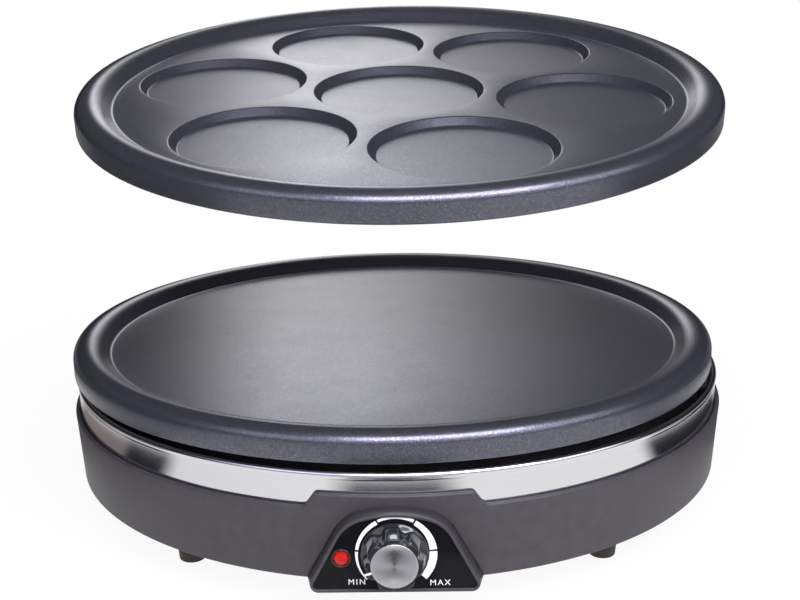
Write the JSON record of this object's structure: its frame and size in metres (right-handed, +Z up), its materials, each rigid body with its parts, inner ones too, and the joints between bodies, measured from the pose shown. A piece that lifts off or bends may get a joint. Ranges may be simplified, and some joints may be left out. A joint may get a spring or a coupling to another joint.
{
  "type": "electric crepe maker",
  "caption": "Round electric crepe maker: steel-banded housing on feet, arched panel with knob and lamp, a rimmed crepe plate seated on it and a second plate with pancake wells held above.",
  "frame": {"origin": "on the floor, on the upright axis of the round housing", "axes": "+Z up, -Y towards the control panel at the front, +Y towards the cord gland at the back, +X to the right seen from the front"},
  "size_m": [0.3419, 0.3769, 0.2408],
  "materials": {
    "non_stick": "satin non-stick coating on cast aluminium",
    "band_steel": "bright, lightly brushed round the ring",
    "charcoal_plastic": "fine matte texture",
    "foot_plastic": "matte",
    "gloss_black": "gloss",
    "knob_black": "satin",
    "spun_metal": "spun in fine circles",
    "white_mark": "matte",
    "lamp_red": "clear red",
    "bezel_black": "gloss",
    "pan_steel": "bright",
    "pan_enamel": "dark heat-proof enamel",
    "screw_steel": "zinc plated",
    "element_sheath": "dull sheath",
    "ceramic_white": "unglazed",
    "terminal_brass": "plain",
    "copper_tube": "plain copper",
    "switch_plastic": "matte",
    "neon_glass": "clear",
    "fuse_case": "plain",
    "brown_sleeve": "matte",
    "white_sleeve": "woven glass sleeve",
    "blue_sleeve": "matte",
    "green_sleeve": "matte",
    "gland_rubber": "matte"
  },
  "bodies": {
    "base": {"steel_band": "band_steel", "housing": "charcoal_plastic", "base_cover": "charcoal_plastic", "foot_front_left": "foot_plastic", "foot_front_right": "foot_plastic", "foot_rear_left": "foot_plastic", "foot_rear_right": "foot_plastic", "foot_screws": "screw_steel", "cover_screws": "screw_steel", "control_fascia": "charcoal_plastic", "face_plate": "gloss_black", "thermostat_body": "switch_plastic", "thermostat_bush": "screw_steel", "thermostat_bracket": "pan_steel", "bracket_screws": "screw_steel", "lamp_bezel": "bezel_black", "lamp_lens": "lamp_red", "neon_lamp": "neon_glass", "element_pan": "pan_enamel", "plate_guides": "pan_steel", "pan_screws": "screw_steel", "heating_element": "element_sheath", "element_clips": "pan_steel", "element_bushings": "ceramic_white", "element_terminals": "terminal_brass", "heat_shield": "pan_steel", "shield_spacers": "pan_steel", "sensor_bulb": "copper_tube", "sensor_clip": "pan_steel", "capillary_tube": "copper_tube", "terminal_block": "switch_plastic", "terminal_screws": "screw_steel", "thermal_fuse": "fuse_case", "fuse_clip": "pan_steel", "live_wire": "brown_sleeve", "thermostat_wire": "brown_sleeve", "fuse_wire": "white_sleeve", "neutral_wire": "blue_sleeve", "earth_wire": "green_sleeve", "earth_screw": "screw_steel", "lamp_leads": "white_sleeve", "cord_gland": "gland_rubber"},
    "crepe_plate": {"crepe_plate": "non_stick"},
    "pancake_plate": {"pancake_plate": "non_stick"},
    "knob": {"knob": "knob_black", "knob_cap": "spun_metal", "knob_pointer": "white_mark", "thermostat_shaft": "screw_steel"}
  },
  "joints": [
    {"name": "crepe_plate_lift", "type": "slide", "parent": "base", "child": "crepe_plate", "axis": [0, 0, 1], "range_m": [0, 0.045]},
    {"name": "pancake_plate_lift", "type": "slide", "parent": "base", "child": "pancake_plate", "axis": [0, 0, 1], "range_m": [0, 0.08]},
    {"name": "knob_turn", "type": "hinge", "parent": "base", "child": "knob", "pos_m": [0, -0.1777, 0.0317], "axis": [0, 1, 0], "range_deg": [-25, 240]}
  ]
}
